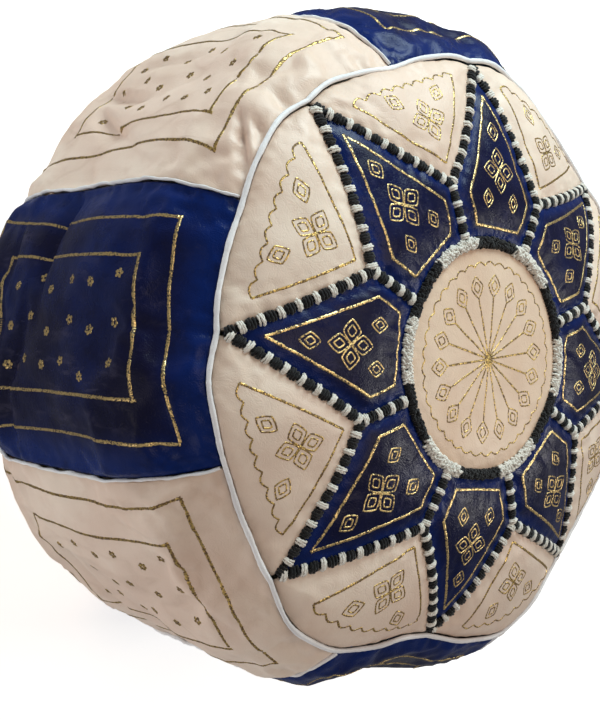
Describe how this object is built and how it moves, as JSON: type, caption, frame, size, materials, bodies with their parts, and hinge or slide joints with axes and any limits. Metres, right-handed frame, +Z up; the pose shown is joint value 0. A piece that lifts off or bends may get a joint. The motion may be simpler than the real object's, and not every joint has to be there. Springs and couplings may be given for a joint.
{
  "type": "leather floor pouf",
  "caption": "Round stuffed leather footstool: a star of dyed leather patches on top, braided seams, piped rims, panelled side and a zip across the base.",
  "frame": {"origin": "middle of the footprint, on the floor that the pouf stands on", "axes": "+Z up through the middle of the star; a blue side panel faces -Y; the zip runs along X"},
  "size_m": [0.5498, 0.5498, 0.3449],
  "materials": {
    "cream_leather": "supple cream goat leather with fine grain and stamped gold lines",
    "blue_leather": "deep blue dyed goat leather with a soft uneven sheen and stamped gold lines",
    "white_leather": "thin white leather folded over a cord",
    "braid_thread": "black and off-white rayon thread, overcast in alternating blocks",
    "zip_tape": "woven cotton tape",
    "brass": "polished zip brass",
    "calico": "unbleached cotton calico",
    "wadding": "loose fibre filling"
  },
  "bodies": {
    "pouf": {"medallion": "cream_leather", "medallion_ring_braid": "braid_thread", "star_point_0": "blue_leather", "star_triangle_0": "cream_leather", "star_braid_0": "braid_thread", "side_panel_0": "blue_leather", "side_seam_welt_0": "white_leather", "star_point_1": "blue_leather", "star_triangle_1": "cream_leather", "star_braid_1": "braid_thread", "side_panel_1": "cream_leather", "side_seam_welt_1": "white_leather", "star_point_2": "blue_leather", "star_triangle_2": "cream_leather", "star_braid_2": "braid_thread", "side_panel_2": "blue_leather", "side_seam_welt_2": "white_leather", "star_point_3": "blue_leather", "star_triangle_3": "cream_leather", "star_braid_3": "braid_thread", "side_panel_3": "cream_leather", "side_seam_welt_3": "white_leather", "star_point_4": "blue_leather", "star_triangle_4": "cream_leather", "star_braid_4": "braid_thread", "side_panel_4": "blue_leather", "side_seam_welt_4": "white_leather", "star_point_5": "blue_leather", "star_triangle_5": "cream_leather", "star_braid_5": "braid_thread", "side_panel_5": "cream_leather", "side_seam_welt_5": "white_leather", "star_point_6": "blue_leather", "star_triangle_6": "cream_leather", "star_braid_6": "braid_thread", "side_panel_6": "blue_leather", "side_seam_welt_6": "white_leather", "star_point_7": "blue_leather", "star_triangle_7": "cream_leather", "star_braid_7": "braid_thread", "side_panel_7": "cream_leather", "side_seam_welt_7": "white_leather", "top_piping": "white_leather", "base_piping": "white_leather", "base_half_front": "cream_leather", "base_half_back": "cream_leather", "zip_tape_front": "zip_tape", "zip_tape_back": "zip_tape", "zip_teeth_front": "brass", "zip_teeth_back": "brass", "zip_stop_open": "brass", "zip_stop_closed": "brass", "insert_bag": "calico", "filling": "wadding"},
    "slider": {"zip_slider": "brass"},
    "pull_tab": {"zip_pull_tab": "brass"}
  },
  "joints": [
    {"name": "zip_slide", "type": "slide", "parent": "pouf", "child": "slider", "axis": [-1, 0, 0], "range_m": [0, 0.2328]},
    {"name": "pull_tab_hinge", "type": "hinge", "parent": "slider", "child": "pull_tab", "pos_m": [0.1164, 0, 0.00535], "axis": [0, -1, 0], "range_deg": [0, 180]}
  ]
}
